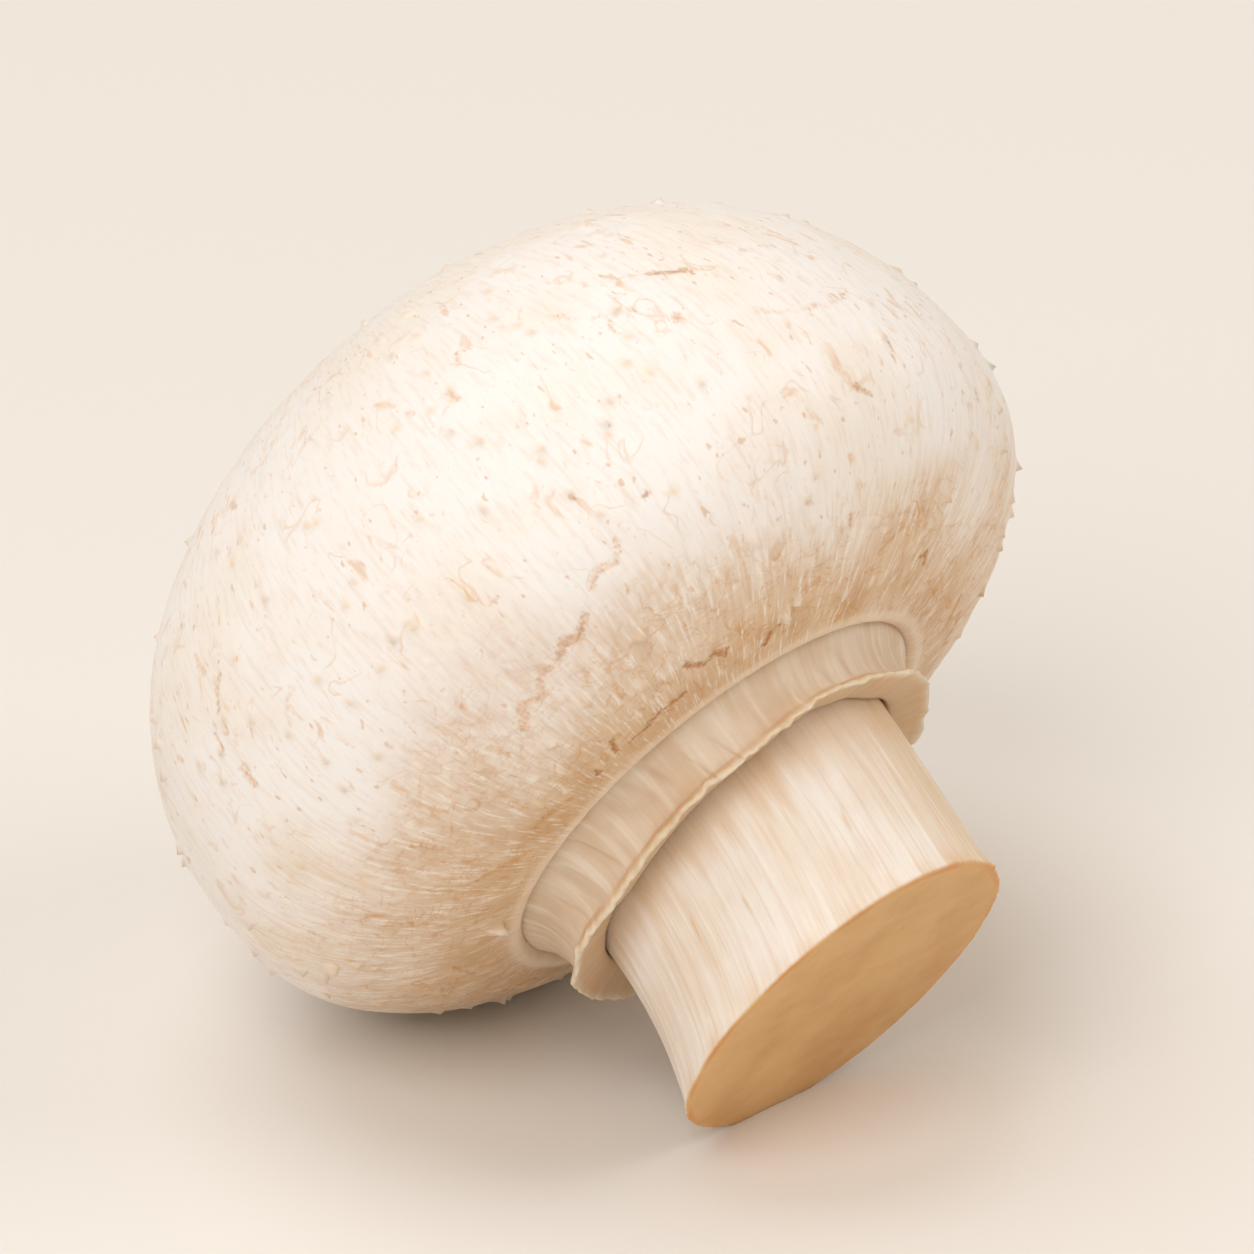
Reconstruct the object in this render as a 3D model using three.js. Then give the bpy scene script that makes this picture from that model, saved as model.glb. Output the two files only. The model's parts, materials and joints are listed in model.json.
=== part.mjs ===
// A closed-cup button mushroom: a domed cap, the short stem that it grew on, and the veil, the thin
// skin that still joins the cap's margin to the stem. The stem is cut off square. The mushroom lies
// on its side, on the side of its cap and the edge of its cut end.
//
// Millimetres, +Z up. Each piece is first made upright around the cap's axis, with the cap's margin
// at height zero, the dome above it and the stem below. The three are then laid down together. The
// origin is under the middle of the lying mushroom, on the surface, and the cut end faces -Y.

import * as THREE from "three";

// Cap
const CAP_WIDTH = 46; // across the widest plane, level as the mushroom lies
const CAP_DEPTH = 44.5; // across the widest plane, the other way
const DOME_HEIGHT = 17.6; // from the widest plane up to the crown
const UNDER_DEPTH = 9.9; // from the widest plane down to the margin
const DOME_FULLNESS = 2.15; // 2 is an ellipse, and more is fuller
const UNDER_FULLNESS = 2.5;
const MARGIN_ROUND = 0.6; // radius of the turned-in edge of the cap
const CAP_LOBE = 0.006; // share of the radius by which the outline swells and dips

// Stem
const STEM_DIAMETER = 18; // where it meets the cap
const CUT_DIAMETER = 18.6; // across the cut end
const STEM_WAIST = 0.45; // how far the side draws in, half way down
const STEM_LENGTH = 11.9; // from the margin to the cut end
const STEM_OFFSET = 0.7; // from the cap's axis to the middle of the stem, where they meet
const STEM_SWEEP = 1.7; // how much further off the cap's axis the cut end is
const SWEEP_HEADING = THREE.MathUtils.degToRad(150); // round the cap's axis, from +X

// Veil
const VEIL_LENGTH = 3.1; // from the margin down to the lip
const VEIL_ROOT = 1.9; // thickness where it leaves the margin
const VEIL_WAIST = 1; // thickness half way down
const VEIL_LIP = 1.75; // how far the lip stands off the stem
const LIP_ROUND = 0.4; // radius of the lip's edge
const LIP_WAVE = 0.2; // how far the lip's edge rises and falls
const LIP_TILT = 0.6; // how much lower the lip hangs on the side that the stem bends to

// Between pieces that grew together, so that each stays a solid of its own
const GAP = 0.3;

// How far the soft flesh gives where it lies, which leaves it a small flat to rest on
const RESTING_GIVE = 0.3;

// Fineness of the surfaces
const CAP_SIDES = 72;
const VEIL_SIDES = 60;
const STEM_SIDES = 48;
const DOME_STEPS = 13;
const UNDER_STEPS = 10;
const ROUND_STEPS = 4;
const STEM_STEPS = 9;
const VEIL_STEPS = 6;

const CAP_RADIUS = CAP_WIDTH / 2;
const STEM_RADIUS = STEM_DIAMETER / 2;
const CUT_RADIUS = CUT_DIAMETER / 2;
const SEAT_HEIGHT = MARGIN_ROUND + GAP; // the flat that the stem and the veil meet, inside the margin
const JOIN_HEIGHT = SEAT_HEIGHT - GAP; // the top of the stem and of the veil
const COLLAR_RADIUS = Math.max(stemRadius(JOIN_HEIGHT), stemRadius(-VEIL_LENGTH)); // inside the veil
const VEIL_ROOT_RADIUS = COLLAR_RADIUS + GAP + VEIL_ROOT;
const MARGIN_RADIUS = VEIL_ROOT_RADIUS + GAP + MARGIN_ROUND;

const SWEEP_DIRECTION = new THREE.Vector3(Math.cos(SWEEP_HEADING), Math.sin(SWEEP_HEADING), 0);

const CAP_MATERIAL = new THREE.MeshStandardMaterial({ color: 0xf3e7da, roughness: 0.62, metalness: 0 });
const VEIL_MATERIAL = new THREE.MeshStandardMaterial({ color: 0xe9dcca, roughness: 0.7, metalness: 0 });
const STEM_MATERIAL = new THREE.MeshStandardMaterial({ color: 0xeedfca, roughness: 0.66, metalness: 0 });

// Turns an outline of [radius, height] pairs round the upright axis.
function turned(outline, sides) {
  const points = outline.map(([radius, height]) => new THREE.Vector2(radius, height));
  const geometry = new THREE.LatheGeometry(points, sides);
  return geometry.rotateX(Math.PI / 2);
}

// Moves every point of a geometry by the given function.
function reshaped(geometry, move) {
  const position = geometry.attributes.position;
  const point = new THREE.Vector3();
  for (let i = 0; i < position.count; i += 1) {
    point.fromBufferAttribute(position, i);
    move(point);
    position.setXYZ(i, point.x, point.y, point.z);
  }
  geometry.computeVertexNormals();
  return geometry;
}

// The points of a quarter of a superellipse, from its side (share 0) to its top (share 1).
function superellipse(halfWidth, height, fullness, share) {
  const angle = (share * Math.PI) / 2;
  const power = 2 / fullness;
  return [halfWidth * Math.cos(angle) ** power, height * Math.sin(angle) ** power];
}

// Radius of the stem at a height: it draws in between the cap and the cut end.
function stemRadius(height) {
  const share = (JOIN_HEIGHT - height) / (JOIN_HEIGHT + STEM_LENGTH);
  return THREE.MathUtils.lerp(STEM_RADIUS, CUT_RADIUS, share) - STEM_WAIST * 4 * share * (1 - share);
}

// Moves a point sideways with the stem, which leaves the cap a little off its axis and bends further
// off it towards the cut. Every level stays level, so the cut end stays flat and square to the cap.
function follow(point) {
  const share = Math.max(0, -point.z / STEM_LENGTH);
  point.addScaledVector(SWEEP_DIRECTION, STEM_OFFSET + STEM_SWEEP * share ** 2);
}

// The outline of the cap: out across the seat, round the turned-in margin, out along the underside to
// the widest plane and over the dome to the crown.
function capOutline() {
  const outline = [
    [0, SEAT_HEIGHT],
    [MARGIN_RADIUS - MARGIN_ROUND, SEAT_HEIGHT],
  ];
  for (let i = 0; i < ROUND_STEPS; i += 1) {
    const angle = (i / ROUND_STEPS) * (Math.PI / 2);
    outline.push([
      MARGIN_RADIUS - MARGIN_ROUND * Math.cos(angle),
      MARGIN_ROUND * (1 - Math.sin(angle)),
    ]);
  }
  // The underside is the part of a quarter superellipse that lies outside the margin.
  const opening = MARGIN_RADIUS / CAP_RADIUS;
  const wholeDepth = UNDER_DEPTH / (1 - opening ** UNDER_FULLNESS) ** (1 / UNDER_FULLNESS);
  const marginShare = Math.acos(opening ** (UNDER_FULLNESS / 2)) / (Math.PI / 2);
  for (let i = UNDER_STEPS; i > 0; i -= 1) {
    const share = marginShare * (i / UNDER_STEPS);
    const [radius, depth] = superellipse(CAP_RADIUS, wholeDepth, UNDER_FULLNESS, share);
    outline.push([radius, UNDER_DEPTH - depth]);
  }
  for (let i = 0; i < DOME_STEPS; i += 1) {
    const [radius, height] = superellipse(CAP_RADIUS, DOME_HEIGHT, DOME_FULLNESS, i / DOME_STEPS);
    outline.push([radius, UNDER_DEPTH + height]);
  }
  outline.push([0, UNDER_DEPTH + DOME_HEIGHT]);
  return outline;
}

// The outside of the cap is a little oval, with three broad lobes and five slighter ones, and it is
// flattest on the side that it lies on. Its margin is round, and keeps to the stem.
function makeCap() {
  const geometry = reshaped(turned(capOutline(), CAP_SIDES), (point) => {
    const radius = Math.hypot(point.x, point.y);
    const angle = Math.atan2(point.y, point.x);
    const outside = THREE.MathUtils.smoothstep(radius, MARGIN_RADIUS, CAP_RADIUS);
    const lobes = Math.sin(3 * angle) - 0.6 * Math.sin(5 * angle);
    const swell = 1 + CAP_LOBE * outside * lobes;
    point.x *= swell;
    point.y *= swell * THREE.MathUtils.lerp(1, CAP_DEPTH / CAP_WIDTH, outside);
    if (point.z < UNDER_DEPTH) {
      point.addScaledVector(SWEEP_DIRECTION, STEM_OFFSET * (1 - outside));
    }
  });
  const cap = new THREE.Mesh(geometry, CAP_MATERIAL);
  cap.name = "cap";
  return cap;
}

// A closed ring: down the stem's side, round under the lip, up the outside and in across the top.
function veilOutline() {
  const inner = COLLAR_RADIUS + GAP;
  const lip = COLLAR_RADIUS + VEIL_LIP;
  const lipHeight = LIP_ROUND - VEIL_LENGTH;
  const outline = [
    [inner, JOIN_HEIGHT],
    [inner, lipHeight / 2],
    [inner, lipHeight + LIP_ROUND],
  ];
  for (let i = 0; i < ROUND_STEPS; i += 1) {
    const angle = Math.PI * (1 - i / ROUND_STEPS);
    outline.push([
      lip - LIP_ROUND + LIP_ROUND * Math.cos(angle),
      lipHeight - LIP_ROUND * Math.sin(angle),
    ]);
  }
  const waistPull = 2 * (inner + VEIL_WAIST) - (lip + VEIL_ROOT_RADIUS) / 2;
  const outside = new THREE.QuadraticBezierCurve(
    new THREE.Vector2(lip, lipHeight),
    new THREE.Vector2(waistPull, lipHeight / 2),
    new THREE.Vector2(VEIL_ROOT_RADIUS, 0),
  );
  for (const point of outside.getPoints(VEIL_STEPS)) {
    outline.push([point.x, point.y]);
  }
  outline.push([VEIL_ROOT_RADIUS, JOIN_HEIGHT]);
  outline.push([inner, JOIN_HEIGHT]);
  return outline;
}

// The veil follows the stem. Its lip is tilted, and rises and falls in slow waves.
function makeVeil() {
  const geometry = reshaped(turned(veilOutline(), VEIL_SIDES), (point) => {
    const angle = Math.atan2(point.y, point.x);
    const down = THREE.MathUtils.smoothstep(-point.z, 0, VEIL_LENGTH);
    const wave = 0.6 * Math.sin(3 * angle + 0.4) + 0.4 * Math.sin(7 * angle);
    follow(point);
    point.z += down * (LIP_WAVE * wave - LIP_TILT * Math.cos(angle - SWEEP_HEADING));
  });
  const veil = new THREE.Mesh(geometry, VEIL_MATERIAL);
  veil.name = "veil";
  return veil;
}

function makeStem() {
  const outline = [[0, -STEM_LENGTH]];
  for (let i = STEM_STEPS; i >= 0; i -= 1) {
    const height = JOIN_HEIGHT - (i / STEM_STEPS) * (JOIN_HEIGHT + STEM_LENGTH);
    outline.push([stemRadius(height), height]);
  }
  outline.push([0, JOIN_HEIGHT]);
  const stem = new THREE.Mesh(reshaped(turned(outline, STEM_SIDES), follow), STEM_MATERIAL);
  stem.name = "stem";
  return stem;
}

function lowest(object) {
  return new THREE.Box3().setFromObject(object, true).min.z;
}

// Presses the underside flat where it would go less than RESTING_GIVE above the surface. Every level
// of the piece stays level, so the cut end stays flat.
function pressFlat(piece) {
  const tilt = piece.parent.rotation.x;
  const world = new THREE.Vector3();
  piece.geometry = reshaped(piece.geometry, (point) => {
    const height = world.copy(point).applyMatrix4(piece.matrixWorld).z;
    point.y -= Math.max(0, RESTING_GIVE - height) / Math.sin(-tilt);
  });
}

// The tilt at which the side of the cap and the edge of the cut end touch one level surface.
function layDown(mushroom, cap, stem) {
  let lyingFlat = -Math.PI / 2;
  let headUp = -Math.PI / 6;
  for (let i = 0; i < 40; i += 1) {
    mushroom.rotation.x = (lyingFlat + headUp) / 2;
    mushroom.updateMatrixWorld(true);
    if (lowest(cap) < lowest(stem)) {
      lyingFlat = mushroom.rotation.x;
    } else {
      headUp = mushroom.rotation.x;
    }
  }
  const box = new THREE.Box3().setFromObject(mushroom, true);
  mushroom.position.set(-(box.min.x + box.max.x) / 2, -(box.min.y + box.max.y) / 2, -box.min.z);
  mushroom.updateMatrixWorld(true);
  pressFlat(cap);
  pressFlat(stem);
  mushroom.position.z -= RESTING_GIVE;
}

const cap = makeCap();
const veil = makeVeil();
const stem = makeStem();
const mushroom = new THREE.Group();
mushroom.add(cap, veil, stem);
layDown(mushroom, cap, stem);

const part = new THREE.Group();
part.add(mushroom);

export default part;
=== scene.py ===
"""A closed-cup button mushroom lying on its side: cap, veil and stem as fine meshes round the frame.

Lengths are in millimetres in the mushroom's own frame: the cap's axis is +Z, the margin is at height
zero, the dome is above it and the stem below. placed() turns them into the metres of the frame.
"""

import itertools
import json
import math

import bpy
import numpy as np
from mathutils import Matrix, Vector


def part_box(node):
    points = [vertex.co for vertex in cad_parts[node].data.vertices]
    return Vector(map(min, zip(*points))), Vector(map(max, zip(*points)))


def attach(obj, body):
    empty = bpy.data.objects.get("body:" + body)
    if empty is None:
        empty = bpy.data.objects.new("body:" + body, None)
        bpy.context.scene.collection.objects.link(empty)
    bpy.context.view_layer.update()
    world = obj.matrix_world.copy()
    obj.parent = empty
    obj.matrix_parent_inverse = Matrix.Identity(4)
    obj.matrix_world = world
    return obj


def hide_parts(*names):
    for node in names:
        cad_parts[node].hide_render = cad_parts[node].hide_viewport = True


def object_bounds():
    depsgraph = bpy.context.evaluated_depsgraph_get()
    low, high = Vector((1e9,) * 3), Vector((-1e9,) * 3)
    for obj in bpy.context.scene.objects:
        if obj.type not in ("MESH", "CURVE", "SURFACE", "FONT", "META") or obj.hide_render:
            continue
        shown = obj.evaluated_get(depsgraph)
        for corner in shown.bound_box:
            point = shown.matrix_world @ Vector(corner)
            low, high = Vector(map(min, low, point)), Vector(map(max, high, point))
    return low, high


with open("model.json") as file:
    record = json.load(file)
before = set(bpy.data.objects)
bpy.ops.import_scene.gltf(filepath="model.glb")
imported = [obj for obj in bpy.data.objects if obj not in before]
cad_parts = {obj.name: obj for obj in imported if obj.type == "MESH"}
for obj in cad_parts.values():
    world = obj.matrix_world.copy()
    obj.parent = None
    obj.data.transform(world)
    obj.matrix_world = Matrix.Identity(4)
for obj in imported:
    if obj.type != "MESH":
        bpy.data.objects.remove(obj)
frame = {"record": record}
cad_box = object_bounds()

MM = 0.001

# The design's sizes
CAP_LOW, CAP_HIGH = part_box("cap")
CAP_WIDTH = (CAP_HIGH[0] - CAP_LOW[0]) / MM
CAP_DEPTH = 44.5
DOME_HEIGHT = 17.6
UNDER_DEPTH = 9.9
DOME_FULLNESS = 2.15
UNDER_FULLNESS = 2.5
MARGIN_ROUND = 0.6
CAP_LOBE = 0.006
STEM_DIAMETER = 18
CUT_DIAMETER = 18.6
STEM_WAIST = 0.45
STEM_LENGTH = 11.9
STEM_OFFSET = 0.7
STEM_SWEEP = 1.7
SWEEP_HEADING = math.radians(150)
VEIL_LENGTH = 3.1
VEIL_ROOT = 1.9
LIP_WAVE = 0.2
LIP_TILT = 0.6
LIP_CORNERS = ((299, 11, 1), (152, 12, 0.7))  # each one's angle and width in degrees, and its share
GAP = 0.3
PALE_SIDE = math.radians(300)  # where the cap's brown and painted shade are narrowest, as the lamps leave that side darker
SHADED_BAND = (303, 17)  # the middle and width in degrees of a band of painted shade along the stem

CAP_RADIUS = CAP_WIDTH / 2
STEM_RADIUS = STEM_DIAMETER / 2
CUT_RADIUS = CUT_DIAMETER / 2
SEAT_HEIGHT = MARGIN_ROUND + GAP
MARGIN_RADIUS = STEM_RADIUS + GAP + VEIL_ROOT + GAP + MARGIN_ROUND
SWEEP_DIRECTION = np.array([math.cos(SWEEP_HEADING), math.sin(SWEEP_HEADING)])

# Fineness of the meshes
CAP_SIDES = 528
CAP_SKIN_ROWS = 172
VEIL_SIDES = 960
VEIL_ROWS = 72
VEIL_STRIPS = 4  # the veil's map is this many strips, one above another
STEM_SIDES = 560
STEM_ROWS = 84
CUT_ROWS = 44
EDGE_ROWS = 8
SEAT_ROWS = 5
OUTLINE_STEPS = 900  # of a superellipse, before it is walked in equal steps

# What is drawn by chance
CHANCE_SEED = 2026
CHANCE_MARKS = 150
MARKS_BY_MARGIN = 34  # of those
UPTURNED_SCALES = 380
FLAT_TUFTS = 560

# The camera, as in the photograph
CAMERA_AZIMUTH = math.radians(-45.7)
CAMERA_ELEVATION = math.radians(25.9)
CAMERA_DISTANCE = 0.6
CAMERA_FRAME = 0.060  # width that the frame takes in, at the mushroom

# The lights: each one's name, its place and size in metres, and its power in watts
LIGHTS = (
    ("key", (-0.66, -0.24, 0.72), 0.6, 3.5),
    ("top", (-0.10, 0.30, 0.95), 0.7, 2.6),
    ("fill", (0.52, -0.56, 0.66), 0.6, 1.9),
)
WORLD_COLOUR = (1.0, 0.87, 0.73, 1)
WORLD_STRENGTH = 0.5
FLOOR_REACH = 2.0  # metres from the middle of the floor to its edges


# ---------------------------------------------------------------- placing

# The cut end's axis has no X part, so the mushroom's own X is the frame's.
cut_end = next(m for m in frame["record"]["mounts"] if m["name"] == "cut_end")
LOCAL_Z = -np.array(cut_end["axis"], float)
LOCAL_Z /= np.linalg.norm(LOCAL_Z)
LOCAL_X = np.array([1.0, 0.0, 0.0])
LOCAL_Y = np.cross(LOCAL_Z, LOCAL_X)
TO_FRAME = np.stack([LOCAL_X, LOCAL_Y, LOCAL_Z])
cut_centre = np.append(SWEEP_DIRECTION * (STEM_OFFSET + STEM_SWEEP), -STEM_LENGTH)
LOCAL_ORIGIN = np.array(cut_end["pos_m"], float) - cut_centre * MM @ TO_FRAME


def placed(points):
    """Points of the mushroom's own frame, in metres in the shared frame. The soft flesh lies flat on
    the surface where it touches."""
    spots = points * MM @ TO_FRAME + LOCAL_ORIGIN
    spots[..., 2] = np.maximum(spots[..., 2], 0)
    return spots


# ---------------------------------------------------------------- numbers

NOISE_TABLE = 256
NOISE_GAIN = 1.6  # brings the noise to about -1 to 1
GRADIENTS = np.random.default_rng(7).normal(size=(NOISE_TABLE, 3))
GRADIENTS /= np.linalg.norm(GRADIENTS, axis=1, keepdims=True)
SHUFFLE = np.random.default_rng(11).permutation(NOISE_TABLE)


def smoothstep(low, high, value):
    """0 at low and 1 at high, eased in between. low may be the greater one."""
    share = np.clip((value - low) / (high - low), 0, 1)
    return share * share * (3 - 2 * share)


def hump(value, width):
    """1 where value is zero, and next to nothing from two widths away."""
    return np.exp(-((value / width) ** 2))


def noise(points, seed=0):
    """Gradient noise from about -1 to 1, with cells one unit across."""
    cell = np.floor(points).astype(np.int64)
    part = points - cell
    fade = part**3 * (part * (part * 6 - 15) + 10)
    total = np.zeros(points.shape[:-1])
    for corner in itertools.product((0, 1), repeat=3):
        x, y, z = (cell[..., i] + corner[i] for i in range(3))
        key = SHUFFLE[(x + seed) % NOISE_TABLE]
        key = SHUFFLE[(key + y) % NOISE_TABLE]
        key = SHUFFLE[(key + z) % NOISE_TABLE]
        weight = np.ones_like(total)
        for i in range(3):
            weight *= fade[..., i] if corner[i] else 1 - fade[..., i]
        total += weight * (GRADIENTS[key] * (part - corner)).sum(-1)
    return total * NOISE_GAIN


def ring_noise(angle, along, cells, length, seed=0):
    """Noise on a round surface: so many cells in a radian, and one cell in each length along it."""
    along = np.broadcast_to(along / length, angle.shape)
    return noise(np.stack([np.cos(angle) * cells, np.sin(angle) * cells, along], -1), seed)


def fibres(angle, radius, along, spacing, length, seed):
    """Streaks that run along a round surface and keep one spacing where it widens or narrows."""
    wanted = np.log2(np.maximum(radius, 0.3) / spacing)
    total = np.zeros_like(angle)
    for octave in range(int(math.ceil(wanted.max())) + 1):
        weight = np.clip(1 - np.abs(wanted - octave), 0, 1)
        total += weight * ring_noise(angle, along, 2.0**octave, length, seed + octave * 17)
    return total


# ---------------------------------------------------------------- shapes

def superellipse(half_width, height, fullness, share):
    """A quarter of a superellipse, from its side at share 0 to its top at share 1."""
    angle = share * math.pi / 2
    return half_width * np.cos(angle) ** (2 / fullness), height * np.sin(angle) ** (2 / fullness)


def stem_radius(height):
    """The stem's radius at a height: a little waisted, and wider at the cut."""
    top = SEAT_HEIGHT - GAP
    share = (top - height) / (top + STEM_LENGTH)
    return STEM_RADIUS + (CUT_RADIUS - STEM_RADIUS) * share - STEM_WAIST * 4 * share * (1 - share)


def follow(height):
    """How far the stem's middle is off the cap's axis at a height, along X and Y."""
    share = np.maximum(0, -height / STEM_LENGTH)
    return SWEEP_DIRECTION * (STEM_OFFSET + STEM_SWEEP * share**2)[..., None]


def evenly(outline, rows):
    """The outline walked in so many equal steps. Gives its points and the length walked to each."""
    steps = np.linalg.norm(np.diff(outline, axis=0), axis=1)
    walked = np.append(0, np.cumsum(steps))
    wanted = np.linspace(0, walked[-1], rows + 1)
    points = [np.interp(wanted, walked, outline[:, i]) for i in range(2)]
    return np.stack(points, -1), wanted


def turned(outline, sides):
    """Radius, height and angle at each point of a grid, with the outline's points as its rows."""
    angle = np.arange(sides) / sides * 2 * math.pi
    return np.broadcast_arrays(outline[:, :1], outline[:, 1:], angle[None])


def unrolled(turn, radius, along):
    """A field for long-grained noise: every point put on a cylinder of one radius."""
    along = np.broadcast_to(along, turn.shape)
    return np.stack([np.cos(turn) * radius, np.sin(turn) * radius, along], -1)


def grid_normals(points, ring=False):
    """Outward normals of a grid whose rows go down the outside."""
    around = np.roll(points, -1, axis=1) - np.roll(points, 1, axis=1)
    along = np.gradient(points, axis=0)
    if ring:
        along = np.roll(points, -1, axis=0) - np.roll(points, 1, axis=0)
    normals = np.cross(along, around)
    size = np.linalg.norm(normals, axis=-1, keepdims=True)
    return normals / np.maximum(size, 1e-9)


def make_piece(name, points, fields, layout, material, ring=False):
    """A closed mesh from a grid of points. Its columns join round, and its rows end on two poles, or in
    a ring join round too. fields go on its points. layout gives each corner's place on the map."""
    rows, sides = points.shape[:2]
    face_row, face_column = np.indices((rows if ring else rows - 1, sides)).reshape(2, -1, 1)
    row = face_row + np.array([0, 1, 1, 0])
    column = face_column + np.array([0, 0, 1, 1])
    faces = ((row % rows) * sides + column % sides).tolist()
    corners = [layout(face_row, face_column, row, column).reshape(-1, 2)]
    ends = [] if ring else [0, rows - 1]
    for end in ends:
        first = end == 0
        around = np.arange(sides)[:, None]
        column = around + (np.array([0, 0, 1]) if first else np.array([0, 1, 0]))
        fan = end * sides + column % sides
        fan[:, 0] = rows * sides + (0 if first else 1)
        faces += fan.tolist()
        row = np.tile([-1 if first else rows, end, end], (sides, 1))
        face_row = np.full_like(around, -1 if first else end)
        corners.append(layout(face_row, around, row, column).reshape(-1, 2))

    def whole(values, size):
        values = values.reshape(rows, sides, size)
        return np.vstack([values.reshape(-1, size), *[values[end].mean(0)[None] for end in ends]])

    mesh = bpy.data.meshes.new(name)
    mesh.from_pydata(placed(whole(points, 3)).tolist(), [], faces)
    mesh.polygons.foreach_set("use_smooth", [True] * len(mesh.polygons))
    for field, values in fields.items():
        size, kind, slot = (3, "FLOAT_VECTOR", "vector") if values.ndim == 3 else (1, "FLOAT", "value")
        attribute = mesh.attributes.new(field, kind, "POINT")
        attribute.data.foreach_set(slot, whole(values, size).astype(np.float32).ravel())
    uv = mesh.uv_layers.new(name="OFBake")
    uv.data.foreach_set("uv", np.vstack(corners).astype(np.float32).ravel())
    mesh.materials.append(material)
    mesh.update()
    piece = bpy.data.objects.new(name, mesh)
    bpy.context.scene.collection.objects.link(piece)
    return piece


# Places on a disc's map, as shares of the map's width
MAP_MIDDLE = 0.5
MAP_REACH = 0.495
TUCKED_MIDDLE = 0.075
TUCKED_REACH = 0.07

# A strip's map: where it starts and how much of its share it takes, along and up
STRIP_START, STRIP_LENGTH = 0.01, 0.98
STRIP_FOOT, STRIP_HEIGHT = 0.03, 0.94


def disc_layout(reach, tucked_faces, tucked_reach, sides):
    """A map seen from one pole. reach is how far each row is from its middle, as a share, with the two
    poles first and last. The tucked rows of faces go on a small disc in the map's corner instead."""

    def layout(face_row, face_column, row, column):
        turn = column / sides * 2 * math.pi
        spot = np.stack([np.cos(turn), np.sin(turn)], -1)
        main = MAP_MIDDLE + MAP_REACH * reach[row + 1][..., None] * spot
        corner = TUCKED_MIDDLE + TUCKED_REACH * tucked_reach[row + 1][..., None] * spot
        tucked = np.broadcast_to(tucked_faces[face_row + 1], row.shape)
        return np.where(tucked[..., None], corner, main)

    return layout


def strip_layout(rows, sides):
    """A ring's map: its length in strips, one above another."""

    def layout(face_row, face_column, row, column):
        strip = face_column * VEIL_STRIPS // sides
        across = column * VEIL_STRIPS / sides - strip
        up = (strip + STRIP_FOOT + STRIP_HEIGHT * row / rows) / VEIL_STRIPS
        return np.stack([STRIP_START + STRIP_LENGTH * across, up], -1)

    return layout


# ---------------------------------------------------------------- materials

FLESH_SCATTER = (1.6, 1.0, 0.55)  # how far red, green and blue light spreads in the flesh, in mm
BUMP_DEPTH = 0.05 * MM

# Colours as 0 to 255 in sRGB: the cap's
CAP_WHITE = (250, 246, 244)
CAP_CREAM = (247, 240, 232)
# the margin's own tan with painted shade and warm bounced light in it
MARGIN_TAN_AND_SHADE = (220, 187, 145)
MARGIN_DIRT = (203, 160, 112)
MARGIN_BAND = (200, 155, 106)
BROAD_FIBRE = (216, 180, 140)
FINE_FIBRE = (222, 188, 150)
PALE_FIBRE = (255, 249, 241)
FLECK = (224, 176, 122)
SPECK = (214, 166, 116)
CURL = (222, 180, 134)
MARGIN_VEIN = (204, 148, 92)
OCHRE_VEIN = (210, 152, 86)
PALE_TUFT = (255, 248, 236)
TAN_SCALE = (240, 210, 172)
FAINT_MARK = (236, 178, 104)
STRONG_MARK = (190, 128, 66)
MARK_CRUMB = (164, 102, 48)
CAP_EDGE = (248, 233, 213)

# the veil's
# darker than the veil's own cream, with painted shade from the cap's margin above
VEIL_SHADED_PALE = (228, 211, 191)
VEIL_SHADED_TAN = (217, 192, 163)
FLUTE_SHADE = (204, 174, 142)
FLUTE_LIGHT = (246, 238, 228)
# painted shade in the veil's creases
CREASE_SHADE = (196, 164, 132)
LIP_LINE = (198, 154, 102)
# painted shade on the lip's underside
LIP_UNDER_SHADE = (210, 176, 134)
LIP_RIM = (244, 228, 200)

# the stem's
STEM_WHITE = (246, 239, 232)
STEM_CREAM = (239, 226, 212)
# warm bands, one of them painted shade down one side
STEM_WARM_AND_SHADE = (232, 202, 158)
STEM_BROAD_FIBRE = (224, 193, 154)
STEM_FINE_FIBRE = (222, 194, 160)
STEM_PALE_FIBRE = (253, 248, 240)
STEM_DASH = (218, 174, 122)
STEM_ENDS = (220, 176, 122)
# painted shade just under the veil
STEM_VEIL_SHADE = (218, 184, 142)
CUT_PALE = (222, 178, 119)
CUT_CARAMEL = (209, 161, 101)
CUT_DOT = (184, 128, 74)
CUT_STROKE = (238, 204, 154)
CUT_RIM = (212, 140, 66)

FLOOR_COLOUR = (238, 235, 231)


def linear(colour):
    """A colour written as 0 to 255 in sRGB, as a shader takes it."""
    share = np.array(colour) / 255
    straight = np.where(share <= 0.04045, share / 12.92, ((share + 0.055) / 1.055) ** 2.4)
    return (*straight.tolist(), 1.0)


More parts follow.
